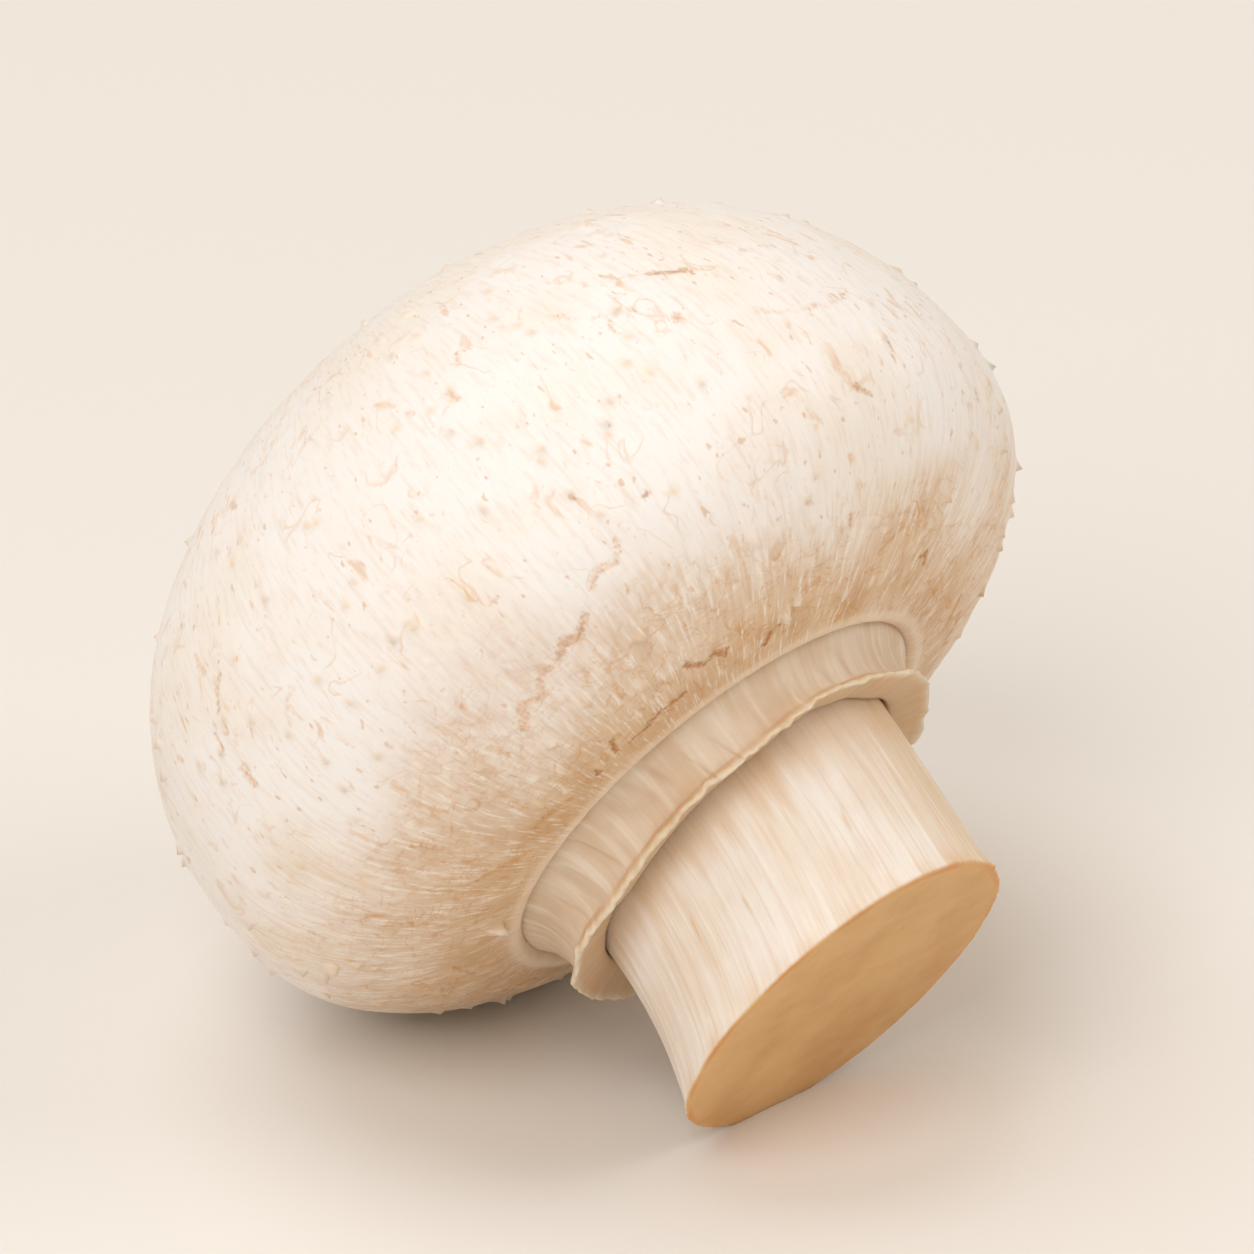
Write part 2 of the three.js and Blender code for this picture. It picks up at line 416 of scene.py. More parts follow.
class Shader:
    """A node-based material, built a step at a time."""

    def __init__(self, name, roughness=0.6, subsurface=0.0):
        self.material = bpy.data.materials.new(name)
        self.material.use_nodes = True
        self.tree = self.material.node_tree
        self.surface = self.tree.nodes["Principled BSDF"]
        self.surface.inputs["Roughness"].default_value = roughness
        self.surface.inputs["Subsurface Weight"].default_value = subsurface
        self.surface.inputs["Subsurface Radius"].default_value = FLESH_SCATTER
        self.surface.inputs["Subsurface Scale"].default_value = MM
        self.surface.inputs["Specular IOR Level"].default_value = 0.35

    def node(self, kind, **settings):
        made = self.tree.nodes.new(kind)
        for key, value in settings.items():
            setattr(made, key, value)
        return made

    def put(self, socket, value):
        if isinstance(value, bpy.types.NodeSocket):
            self.tree.links.new(value, socket)
        else:
            socket.default_value = value

    def field(self, name):
        return self.node("ShaderNodeAttribute", attribute_name=name).outputs["Fac"]

    def vector(self, name, stretch=1.0):
        """A vector field, with its third number scaled down by stretch so that noise on it is long."""
        source = self.node("ShaderNodeAttribute", attribute_name=name).outputs["Vector"]
        mapping = self.node("ShaderNodeMapping")
        self.put(mapping.inputs["Vector"], source)
        mapping.inputs["Scale"].default_value = (1, 1, 1 / stretch)
        return mapping.outputs["Vector"]

    def noise(self, vector, scale, detail=2.0, roughness=0.5, distortion=0.0):
        made = self.node("ShaderNodeTexNoise")
        self.put(made.inputs["Vector"], vector)
        made.inputs["Scale"].default_value = scale
        made.inputs["Detail"].default_value = detail
        made.inputs["Roughness"].default_value = roughness
        made.inputs["Distortion"].default_value = distortion
        return made.outputs["Fac"]

    def maths(self, operation, first, second=0.0):
        made = self.node("ShaderNodeMath", operation=operation)
        self.put(made.inputs[0], first)
        self.put(made.inputs[1], second)
        return made.outputs[0]

    def times(self, *shares):
        total = shares[0]
        for share in shares[1:]:
            total = self.maths("MULTIPLY", total, share)
        return total

    def plus(self, *shares):
        total = shares[0]
        for share in shares[1:]:
            total = self.maths("ADD", total, share)
        return total

    def between(self, value, low, high, to_low=0.0, to_high=1.0):
        """value from low to high, eased, as to_low to to_high."""
        made = self.node("ShaderNodeMapRange", interpolation_type="SMOOTHSTEP")
        self.put(made.inputs["Value"], value)
        made.inputs["From Min"].default_value = low
        made.inputs["From Max"].default_value = high
        made.inputs["To Min"].default_value = to_low
        made.inputs["To Max"].default_value = to_high
        return made.outputs["Result"]

    def blend(self, share, under, over):
        made = self.node("ShaderNodeMix", data_type="RGBA")
        self.put(made.inputs["Factor"], share)
        for socket, colour in ((made.inputs[6], under), (made.inputs[7], over)):
            self.put(socket, colour if isinstance(colour, bpy.types.NodeSocket) else linear(colour))
        return made.outputs[2]

    def finish(self, colour, height, roughness):
        """Joins the colour, the height of the bumps and the roughness to the surface."""
        self.put(self.surface.inputs["Base Color"], colour)
        self.put(self.surface.inputs["Roughness"], roughness)
        bump = self.node("ShaderNodeBump")
        bump.inputs["Distance"].default_value = BUMP_DEPTH
        self.put(bump.inputs["Height"], height)
        self.put(self.surface.inputs["Normal"], bump.outputs["Normal"])
        return self.material


def cap_material():
    """Cream skin: fine radial fibres, soft tan flecks and veins, browner towards the margin, partly
    with painted shade.
    """
    s = Shader("cap_skin", subsurface=0.2)
    place = s.vector("place")
    low = s.field("low")
    wide = s.field("wide")
    patches = s.noise(place, 0.16, 3)
    colour = s.blend(s.between(patches, 0.42, 0.66), CAP_WHITE, CAP_CREAM)
    # towards the margin: the skin's own tan with painted shade and warm bounced light
    colour = s.blend(s.times(low, 0.82), colour, MARGIN_TAN_AND_SHADE)
    dirt = s.between(s.noise(place, 0.3, 4, 0.65), 0.46, 0.64)
    colour = s.blend(s.times(dirt, low, 0.5), colour, MARGIN_DIRT)
    colour = s.blend(s.times(s.field("band"), 0.55), colour, MARGIN_BAND)
    # short pale and tan fibres, fainter near the crown
    broad = s.noise(s.vector("grain", 4), 1.3, 3, 0.6)
    fine = s.noise(s.vector("grain", 6), 3.6, 2, 0.6, 0.2)
    reach = s.times(s.between(low, 0.0, 0.7, 0.12, 1.0), wide)
    colour = s.blend(s.times(s.between(broad, 0.5, 0.72), reach, 0.42), colour, BROAD_FIBRE)
    strand = s.times(s.between(low, 0.0, 0.6, 0.4, 1.0), wide)
    colour = s.blend(s.times(s.between(fine, 0.5, 0.68), strand, 0.4), colour, FINE_FIBRE)
    colour = s.blend(s.times(s.between(fine, 0.48, 0.3), strand, 0.55), colour, PALE_FIBRE)
    # soft tan flecks
    fleck = s.noise(s.vector("grain", 2.2), 1.5, 2, 0.5, 0.4)
    where = s.between(s.noise(place, 0.33, 2), 0.42, 0.6)
    colour = s.blend(s.times(s.between(fleck, 0.6, 0.74), where, 0.5), colour, FLECK)
    speck = s.between(s.noise(s.vector("grain", 1.6), 2.6, 1), 0.68, 0.78)
    colour = s.blend(s.times(speck, wide, 0.5), colour, SPECK)
    # soft veins: faint curls in patches all over, and tan and ochre lines towards the margin
    curl = s.maths("ABSOLUTE", s.maths("SUBTRACT", s.noise(place, 0.36, 1.5, 0.5, 0.8), 0.5))
    part = s.between(s.noise(place, 0.5, 2), 0.5, 0.62)
    colour = s.blend(s.times(s.between(curl, 0.02, 0.0), part, 0.34), colour, CURL)
    vein = s.noise(s.vector("grain", 0.45), 0.34, 3, 0.6, 0.6)
    vein = s.between(s.maths("ABSOLUTE", s.maths("SUBTRACT", vein, 0.5)), 0.028, 0.0)
    colour = s.blend(s.times(vein, low, s.between(fleck, 0.35, 0.55), 0.5), colour, MARGIN_VEIN)
    cell = s.maths("ABSOLUTE", s.maths("SUBTRACT", s.noise(place, 0.3, 2.5, 0.6, 0.5), 0.5))
    cell = s.times(s.between(cell, 0.022, 0.0), s.between(low, 0.1, 0.6))
    cell = s.times(cell, s.between(dirt, 0.0, 1.0, 0.35, 1.0))
    colour = s.blend(s.times(cell, 0.6), colour, OCHRE_VEIN)
    # what the mesh says: pale tufts, tan scales, cracks and bruises, and the pale edge
    colour = s.blend(s.times(s.field("pale"), 0.5), colour, PALE_TUFT)
    colour = s.blend(s.times(s.field("tip"), 0.6), colour, TAN_SCALE)
    crumbs = s.noise(place, 4.5, 3, 0.6)
    crack = s.plus(s.field("mark"), s.times(s.maths("SUBTRACT", crumbs, 0.5), 0.9))
    strength = s.field("strength")
    stain = s.blend(s.between(strength, 0.3, 0.8), FAINT_MARK, STRONG_MARK)
    crack = s.times(s.between(crack, 0.5, 1.05), strength)
    colour = s.blend(crack, colour, s.blend(s.between(crumbs, 0.45, 0.75), stain, MARK_CRUMB))
    colour = s.blend(s.times(s.field("edge"), 0.6), colour, CAP_EDGE)
    grit = s.noise(place, 7.0, 2)
    height = s.plus(s.times(broad, reach, 0.8), s.times(fine, strand, 0.9), s.times(grit, 0.3))
    height = s.maths("SUBTRACT", height, s.times(crack, 0.8))
    return s.finish(colour, height, s.between(patches, 0.3, 0.7, 0.5, 0.66))


def veil_material():
    """Thin skin, darker than the cap's with painted shade from the margin above, with fine flutes,
    painted shade in its creases and under its lip, a pale rim and a tan line by it.
    """
    s = Shader("veil_skin", subsurface=0.25)
    place = s.vector("place")
    patches = s.noise(place, 0.3, 3)
    # base colours with painted shade from the margin above
    colour = s.blend(s.between(patches, 0.35, 0.7), VEIL_SHADED_PALE, VEIL_SHADED_TAN)
    flute = s.noise(s.vector("grain", 14), 2.2, 2, 0.55)
    colour = s.blend(s.times(s.between(flute, 0.5, 0.72), 0.26), colour, FLUTE_SHADE)
    colour = s.blend(s.times(s.between(flute, 0.48, 0.3), 0.34), colour, FLUTE_LIGHT)
    # painted shade in the creases
    colour = s.blend(s.times(s.field("crease"), 0.35), colour, CREASE_SHADE)
    colour = s.blend(s.times(s.field("line"), 0.85), colour, LIP_LINE)
    # painted shade under the lip
    colour = s.blend(s.times(s.field("under"), 0.6), colour, LIP_UNDER_SHADE)
    ragged = s.between(s.noise(place, 1.6, 2), 0.35, 0.6, 0.45, 1.0)
    colour = s.blend(s.times(s.field("rim"), ragged, 0.65), colour, LIP_RIM)
    fine = s.noise(s.vector("grain", 7), 5.5, 2)
    height = s.plus(s.times(flute, 0.9), s.times(fine, 0.4))
    return s.finish(colour, height, s.between(patches, 0.3, 0.7, 0.56, 0.7))


def stem_material():
    """Long cream fibres with tan streaks and warm bands, painted shade under the veil and down one
    side, and a caramel cut end, orange at its rim.
    """
    s = Shader("stem_flesh", subsurface=0.25)
    place = s.vector("place")
    patches = s.noise(place, 0.2, 3)
    colour = s.blend(s.between(patches, 0.35, 0.7), STEM_WHITE, STEM_CREAM)
    # warm bands, one of them painted shade down one side
    colour = s.blend(s.times(s.field("warm_and_shade"), 0.6), colour, STEM_WARM_AND_SHADE)
    broad = s.noise(s.vector("grain", 20), 1.3, 3, 0.6)
    fine = s.noise(s.vector("grain", 24), 4.4, 3, 0.6, 0.2)
    colour = s.blend(s.times(s.between(broad, 0.5, 0.74), 0.32), colour, STEM_BROAD_FIBRE)
    colour = s.blend(s.times(s.between(fine, 0.5, 0.68), 0.3), colour, STEM_FINE_FIBRE)
    colour = s.blend(s.times(s.between(fine, 0.48, 0.32), 0.45), colour, STEM_PALE_FIBRE)
    dash = s.noise(s.vector("grain", 7), 2.0, 2)
    colour = s.blend(s.times(s.between(dash, 0.68, 0.78), 0.4), colour, STEM_DASH)
    colour = s.blend(s.times(s.field("ends"), 0.55), colour, STEM_ENDS)
    # painted shade just under the veil
    colour = s.blend(s.times(s.field("veil_shade"), 0.5), colour, STEM_VEIL_SHADE)
    # the cut end
    tone = s.noise(place, 0.22, 3, 0.5)
    dots = s.noise(place, 2.6, 2)
    face = s.blend(s.between(tone, 0.35, 0.68), CUT_PALE, CUT_CARAMEL)
    face = s.blend(s.times(s.between(dots, 0.64, 0.78), 0.35), face, CUT_DOT)
    strokes = s.noise(s.vector("slice"), 1.0, 2, 0.5)
    face = s.blend(s.times(s.between(strokes, 0.4, 0.7), 0.14), face, CUT_STROKE)
    face = s.blend(s.times(s.field("rim"), 0.7), face, CUT_RIM)
    colour = s.blend(s.field("cut"), colour, face)
    side = s.maths("SUBTRACT", 1.0, s.field("cut"))
    height = s.times(s.plus(s.times(broad, 0.6), s.times(fine, 0.8)), side)
    height = s.plus(height, s.times(dots, 0.15), s.times(strokes, s.field("cut"), 0.15))
    return s.finish(colour, height, s.between(s.field("cut"), 0.0, 1.0, 0.64, 0.5))


# ---------------------------------------------------------------- cap

# Cracks and bruises on the side that the photograph shows. Each is how strong it is, how wide in mm,
# and its line, as the angle round the cap in degrees and the distance from the margin in mm.
SEEN_MARKS = (
    (0.62, 0.28, ((263.5, 22.9), (265, 22.5), (267, 21.9), (267.7, 21.6))),
    (0.45, 0.24, ((260, 23.6), (262, 23.3))),
    (0.85, 0.34, ((237, 3.6), (240, 3.0), (243, 3.1), (246, 2.7))),
    (0.85, 0.30, ((221, 1.6), (226, 1.8), (229, 2.1), (232, 1.9), (235, 1.9))),
    (0.95, 0.32, ((211.5, 1.7), (212.5, 2.0))),
    (0.95, 0.32, ((217.5, 2.0), (218.5, 2.8))),
    (1.00, 0.30, ((254.5, 1.5), (255.5, 2.1))),
    (0.60, 0.28, ((257, 2.2), (260, 2.4), (262, 2.9))),
    (0.85, 0.30, ((296.5, 3.3), (299, 3.5), (300.5, 3.0))),
    (0.55, 0.32, ((203, 2.1), (199, 2.5), (195, 2.6))),
    (0.50, 0.30, ((189, 1.7), (184, 2.8), (180, 3.6))),
    (0.46, 0.42, ((211.5, 7.8), (214, 8.8), (216.5, 8.6), (219, 9.4), (221, 9.2))),
    (0.60, 0.44, ((222, 9.3), (224, 9.9), (226, 9.5), (228, 10.1))),
    (0.44, 0.44, ((231, 11.0), (233, 11.6), (235, 11.3), (237, 12.0))),
    (0.60, 0.34, ((242.7, 12.9), (243.3, 13.1))),
    (0.45, 0.38, ((260.6, 19.5), (261.3, 19.9))),
    (0.40, 0.30, ((253.4, 20.7), (254.4, 21.7))),
    (0.60, 0.28, ((285, 13.2), (285.6, 14.3))),
    (0.60, 0.28, ((276, 12.8), (278, 12.1))),
    (0.50, 0.28, ((185, 21.7), (182.5, 20.8), (181, 20.4))),
    (0.50, 0.28, ((179.5, 20.2), (178.5, 18.9))),
    (0.24, 0.26, ((284, 17.4), (281, 17.1), (277, 17.4), (273, 17.5), (270, 18.2))),
    (0.65, 0.28, ((284.2, 17.3), (284.8, 17.5))),
    (0.50, 0.28, ((272, 6.1), (272.3, 6.8))),
)


# Torn white flakes near the margin, as the photograph shows: the angle round the cap in degrees, then
# in mm the distance from the margin, the length, the half width and the height.
SEEN_FLAKES = (
    (160.0, 1.0, 0.9, 0.42, 0.55),
    (259.0, 2.5, 0.7, 0.40, 0.30),
    (261.5, 3.0, 0.6, 0.34, 0.22),
    (205.0, 5.2, 1.0, 0.30, 0.12),
    (212.0, 6.0, 1.2, 0.28, 0.12),
)
FLAKE_WHITENESS = 1.6

# The side that the photograph shows and the side that it hides, as angles round the cap in degrees
SEEN_SIDE = (160, 308)
HIDDEN_SIDE = (308, 515)

MARK_WANDER = 0.24  # mm that a mark's line strays
MARK_DEPTH = 0.06
TUFT_REACH = 2.0  # mm round a tuft's middle that it can move


def stroke(turn, gap, radius, line, width):
    """How near each point is to a line drawn on the cap, from 0 to 1, fading at the line's ends."""
    near = np.zeros_like(turn)
    for (from_angle, from_gap), (to_angle, to_gap) in zip(line[:-1], line[1:]):
        start, end = math.radians(from_angle), math.radians(to_angle)
        across = (turn - start + math.pi) % (2 * math.pi) - math.pi
        u, v = across * radius, gap - from_gap
        run, rise = (end - start) * radius, to_gap - from_gap
        share = np.clip((u * run + v * rise) / (run**2 + rise**2), 0, 1)
        near = np.maximum(near, hump(np.hypot(u - share * run, v - share * rise), width))
    return near


def cracks(turn, gap, radius, points, rng):
    """The marks that the photograph shows, with others by chance all round. Gives how near each point
    is to one, and how strong that one is."""
    turn = turn + MARK_WANDER * noise(points / 1.1, 61) / np.maximum(radius, 4)
    gap = gap + MARK_WANDER * noise(points / 1.1, 67)
    drawn = list(SEEN_MARKS)
    for number in range(CHANCE_MARKS):
        by_margin = number < MARKS_BY_MARGIN
        angle = rng.uniform(*(HIDDEN_SIDE if number % 3 or by_margin else SEEN_SIDE))
        at = rng.uniform(1.6, 4.2) if by_margin else 1.6 + 30 * rng.random() ** 1.3
        heading = rng.normal(0, 0.5) if by_margin else rng.normal(math.pi / 2, 0.7)
        length = rng.uniform(0.3, 2.6) if by_margin else rng.uniform(0.1, 1.4)
        wide = 12.5 + 0.6 * min(at, 15)  # about the cap's radius there
        bend = rng.normal(0, 0.25) * length
        step = math.degrees(math.cos(heading) * length / 2 / wide)
        rise = math.sin(heading) * length / 2
        line = ((angle - step, at - rise), (angle, at + bend), (angle + step, at + rise))
        strength = rng.uniform(0.35, 0.7) if by_margin else rng.uniform(0.2, 0.5)
        drawn.append((strength, rng.uniform(0.26, 0.34), line))
    near = np.zeros_like(turn)
    strong = np.zeros_like(turn)
    for strength, width, line in drawn:
        this = stroke(turn, gap, radius, line, width)
        strong = np.where(this > near, strength, strong)
        near = np.maximum(near, this)
    return near, strong


def cap_outline():
    """From the crown to the margin, round its turned-in edge, and across the seat towards the axis."""
    dome = np.linspace(1, 0, OUTLINE_STEPS)
    dome_r, dome_z = superellipse(CAP_RADIUS, DOME_HEIGHT, DOME_FULLNESS, dome)
    opening = MARGIN_RADIUS / CAP_RADIUS
    whole_depth = UNDER_DEPTH / (1 - opening**UNDER_FULLNESS) ** (1 / UNDER_FULLNESS)
    margin_share = math.acos(opening ** (UNDER_FULLNESS / 2)) / (math.pi / 2)
    under = np.linspace(0, margin_share, OUTLINE_STEPS)[1:]
    under_r, under_z = superellipse(CAP_RADIUS, whole_depth, UNDER_FULLNESS, under)
    skin_r = np.append(dome_r, under_r)
    skin_z = UNDER_DEPTH + np.append(dome_z, -under_z)
    turn = np.linspace(math.pi / 2, 0, EDGE_ROWS + 1)[1:]
    edge_r = MARGIN_RADIUS - MARGIN_ROUND * np.cos(turn)
    edge_z = MARGIN_ROUND * (1 - np.sin(turn))
    seat_r = np.linspace(MARGIN_RADIUS - MARGIN_ROUND, 1, SEAT_ROWS + 1)[1:]
    return (
        np.stack([skin_r, skin_z], -1),
        np.stack([edge_r, edge_z], -1),
        np.stack([seat_r, np.full_like(seat_r, SEAT_HEIGHT)], -1),
    )


def tufts(points, normals, low, gap, rng):
    """Small upturned scales and flat tufts. Gives how far they move each point, how pale the tufts are
    and how tan the scales are."""
    down = np.gradient(points, axis=0)
    down /= np.linalg.norm(down, axis=-1, keepdims=True)
    across = np.cross(normals, down)
    move = np.zeros_like(points)
    pale = np.zeros(points.shape[:2])
    tip = np.zeros(points.shape[:2])
    flat = points.reshape(-1, 3)

    def add(row, side, lean, length, width, height, strength, upturned):
        away = flat - points[row, side]
        close = np.flatnonzero((away**2).sum(1) < TUFT_REACH**2)
        along = down[row, side] * math.cos(lean) + across[row, side] * math.sin(lean)
        beside = across[row, side] * math.cos(lean) - down[row, side] * math.sin(lean)
        u = away[close] @ along
        v = away[close] @ beside
        # an upturned scale rises to its tip and drops steeply past it, and a flat tuft is low
        if upturned:
            rise = smoothstep(-length, 0, u) ** 2 * smoothstep(0.34, 0.04, u)
            lift = normals[row, side] + 0.7 * along
        else:
            rise = smoothstep(-length, 0.2 * length, u) * smoothstep(0.5 * length, 0.3 * length, u)
            lift = normals[row, side]
        share = rise * np.clip(1 - (v / width) ** 2, 0, 1)
        rows, sides = np.divmod(close, CAP_SIDES)
        move[rows, sides] += height * share[:, None] * lift
        pale[rows, sides] = np.maximum(pale[rows, sides], strength * share)
        if strength == 0:
            tip[rows, sides] = np.maximum(tip[rows, sides], share)

    for degrees, at, length, width, height in SEEN_FLAKES:
        row = np.abs(gap[:, 0] - at).argmin()
        side = round(degrees / 360 * CAP_SIDES)
        add(row, side, 0, length, width, height, FLAKE_WHITENESS, True)
    for upturned, count in ((True, UPTURNED_SCALES), (False, FLAT_TUFTS)):
        made = 0
        while made < count:
            row = rng.integers(4, CAP_SKIN_ROWS - 7)
            side = rng.integers(0, CAP_SIDES)
            wide = np.hypot(points[row, side, 0], points[row, side, 1]) / CAP_RADIUS
            share = low[row, side]
            wanted = wide**1.7 * (0.7 + 0.3 * share) if upturned else wide * (0.25 + 0.75 * share)
            if rng.random() > wanted:
                continue
            made += 1
            lean = rng.normal(0, 0.35)
            if upturned:
                length, width = rng.uniform(0.5, 0.9), rng.uniform(0.24, 0.32)
                height, strength = 0.10 + 0.27 * rng.random() ** 1.5, 0
            else:
                length, width = rng.uniform(0.6, 1.7), rng.uniform(0.2, 0.36)
                height, strength = rng.uniform(0.02, 0.07), rng.uniform(0.15, 0.7)
            add(row, side, lean, length, width, height, strength, upturned)
    return move, pale, tip


def make_cap():
    """The dome, its turned-in margin and the flat seat, with fibres, marks, scales and tufts."""
    skin, edge, seat = cap_outline()
    skin, walked = evenly(skin, CAP_SKIN_ROWS)
    skin, walked = skin[1:], walked[1:]  # the first row is a small ring, and the crown is a pole
    outline = np.vstack([skin, edge, seat])
    tucked_rows = len(edge) + len(seat)
    radius, height, turn = turned(outline, CAP_SIDES)
    walk = np.append(walked, np.full(tucked_rows, walked[-1]))[:, None]
    along = np.broadcast_to(walk, turn.shape)
    gap = walked[-1] - along
    on_skin = np.arange(len(outline))[:, None] < len(skin)

    outside = smoothstep(MARGIN_RADIUS, CAP_RADIUS, radius)
    swell = 1 + CAP_LOBE * outside * (np.sin(3 * turn) - 0.6 * np.sin(5 * turn))
    inside = np.where(height < UNDER_DEPTH, STEM_OFFSET * (1 - outside), 0)
    x = radius * np.cos(turn) * swell
    y = radius * np.sin(turn) * swell * (1 + (CAP_DEPTH / CAP_WIDTH - 1) * outside)
    points = np.stack([x, y, height], -1)
    points[..., :2] += SWEEP_DIRECTION * inside[..., None]
    normals = grid_normals(points)

    # browner towards the margin, partly the skin's own tan and partly painted shade and warm bounced
    # light, and more so on the side where the stem leans; less towards PALE_SIDE, where the lamps leave
    # it darker
    lean = 1.6 * np.cos(turn - PALE_SIDE) + 5 * noise(points / 7.0, 3)
    low = smoothstep(15, 1.5, gap + lean)
    fade = smoothstep(0.2, 1.0, gap) * on_skin
    warped = turn + 0.9 * noise(points / 4.5, 21) / np.maximum(radius, 2)
    push = 0.17 * noise(points / 11.0, 5) * smoothstep(0, 6, gap)
    push += 0.05 * noise(points / 3.1, 9) * fade
    coarse = fibres(warped, radius, along, 1.0, 4.0, 31)
    fine = fibres(warped, radius, along, 0.62, 2.2, 47)
    push += (0.004 + 0.034 * low) * coarse * fade
    push += (0.004 + 0.024 * low) * fine * fade
    push += 0.02 * fine * ~on_skin * (height < MARGIN_ROUND)
    # a shallow dip behind the thin edge
    push -= 0.06 * hump(gap - 0.8, 0.3) * on_skin

    rng = np.random.default_rng(CHANCE_SEED)
    mark, strength = cracks(turn, gap, np.maximum(radius, 1), points, rng)
    push -= MARK_DEPTH * mark * strength * fade
    move, pale, tip = tufts(points, normals, low, gap, rng)
    moved = points + normals * push[..., None] + move * fade[..., None]

    # what the material reads: places for its noise, and how much there is of each feature
    fields = {
        "place": points,
        "grain": unrolled(turn, CAP_RADIUS, along),
        "low": low,
        "band": hump(gap - 1.8, 1.3) * smoothstep(-0.5, 0.5, noise(points / 2.4, 73)) * on_skin,
        "wide": smoothstep(2, 9, radius),
        "mark": mark,
        "strength": strength * fade,
        "pale": pale * fade,
        "tip": tip * fade,
        "edge": smoothstep(0.6, 0.1, gap + 0.12 * noise(points / 1.2, 71)),
    }
    # the map's middle is the crown, and the seat is tucked into its corner
    reach = np.concatenate([[0], walked, walked[-1] + np.linspace(0.4, 2.4, len(edge))])
    reach = np.append(reach / reach[-1], np.ones(len(seat) + 1))
    tucked_reach = np.append(np.ones(len(skin) + len(edge)), np.linspace(1, 0, len(seat) + 2))
    tucked_faces = np.arange(len(outline) + 1) >= len(skin) + len(edge)
    layout = disc_layout(reach, tucked_faces, tucked_reach, CAP_SIDES)
    return make_piece("cap_skin", moved, fields, layout, cap_material())


# ---------------------------------------------------------------- veil

# The veil's section as radius and height: down the outside, round under the lip, up the inside and
# back across the top
VEIL_OUTLINE = np.array([
    (11.55, 0.86), (11.62, 0.50), (11.50, 0.15), (11.20, -0.20), (10.92, -0.60), (10.72, -1.10),
    (10.60, -1.60), (10.54, -2.00), (10.60, -2.28), (10.78, -2.52), (10.97, -2.72),
    (11.07, -2.87), (11.07, -2.95), (10.98, -2.97), (10.76, -2.86), (10.34, -2.70),
    (9.84, -2.60), (9.30, -2.52), (8.95, -2.40), (8.90, -1.60), (8.90, 0.86), (11.55, 0.86),
])
VEIL_TIP = 11  # the outline's point at the tip of the lip
VEIL_MIDDLE = 10.5  # mm from the axis, about the middle of its outside


def make_veil():
    """The ring of skin between the margin and the stem, with creases and a thin ragged lip."""
    steps = np.linalg.norm(np.diff(VEIL_OUTLINE, axis=0), axis=1)
    tip_walk = steps[:VEIL_TIP].sum()
    outline, walked = evenly(VEIL_OUTLINE, VEIL_ROWS)
    outline, walked = outline[:-1], walked[:-1]
    radius, height, turn = turned(outline, VEIL_SIDES)
    past_tip = np.broadcast_to((walked - tip_walk)[:, None], turn.shape)
    down = smoothstep(0, VEIL_LENGTH, -height)
    lip = hump(past_tip + 0.1, 0.75)

    # the lip is pulled out to a corner where it meets the edge of the view on either side
    corners = sum(share * hump(np.degrees(turn) - at, width) for at, width, share in LIP_CORNERS)
    flare = 0.16 * ring_noise(turn, height, 2.2, 9, 5)
    ripple = 0.07 * ring_noise(turn, height, 6, 9, 8)
    crimp = 0.06 * ring_noise(turn, height, 16, 2, 11) * hump(past_tip, 0.5)
    radius = radius + (lip + 0.35 * down) * flare + lip * (ripple + 0.45 * corners) + crimp
    wave = 0.6 * np.sin(3 * turn + 0.4) + 0.4 * np.sin(7 * turn)
    drop = LIP_WAVE * wave - LIP_TILT * np.cos(turn - SWEEP_HEADING) - 0.2 * corners
    drop = drop + 0.12 * ring_noise(turn, 0, 5, 1, 15)
    ragged = 0.17 * ring_noise(turn, 0, 8, 1, 19) + 0.12 * ring_noise(turn, 0, 21, 1, 23)
    nicks = 0.5 * smoothstep(0.45, 0.8, ring_noise(turn, 0, 6, 1, 27))
    points = np.stack([radius * np.cos(turn), radius * np.sin(turn), height], -1)
    points[..., :2] += follow(height)
    points[..., 2] += down * drop + hump(past_tip, 0.42) * (ragged + nicks)

    normals = grid_normals(points, ring=True)
    outer = (past_tip < 0) * smoothstep(0.3, -0.3, height)
    slanted = turn + 0.03 * height + 0.02 * ring_noise(turn, height, 3, 3, 29)
    crease = hump(ring_noise(slanted, 0, 5, 1, 31), 0.06) * outer
    crease *= smoothstep(-0.3, 0.4, ring_noise(turn, height, 3, 2.5, 37))
    flute = 0.014 * ring_noise(slanted, 0, 13, 1, 41) + 0.018 * ring_noise(slanted, 0, 28, 1, 43)
    push = flute * (0.6 + 0.4 * outer) - 0.07 * crease
    push += 0.05 * noise(points / 1.5, 45) * (0.3 + lip)
    moved = points + normals * push[..., None]

    fields = {
        "place": points,
        "grain": unrolled(turn, VEIL_MIDDLE, walked[:, None]),
        "crease": crease,
        "rim": hump(past_tip + 0.04, 0.2),
        "line": hump(past_tip + 0.5, 0.14) * smoothstep(-0.7, 0.2, ring_noise(turn, 0, 4, 1, 47)),
        # painted shade on the lip's underside
        "under": smoothstep(0.3, 0.6, past_tip),
    }
    layout = strip_layout(VEIL_ROWS, VEIL_SIDES)
    return make_piece("veil_skin", moved, fields, layout, veil_material(), ring=True)


# ---------------------------------------------------------------- stem

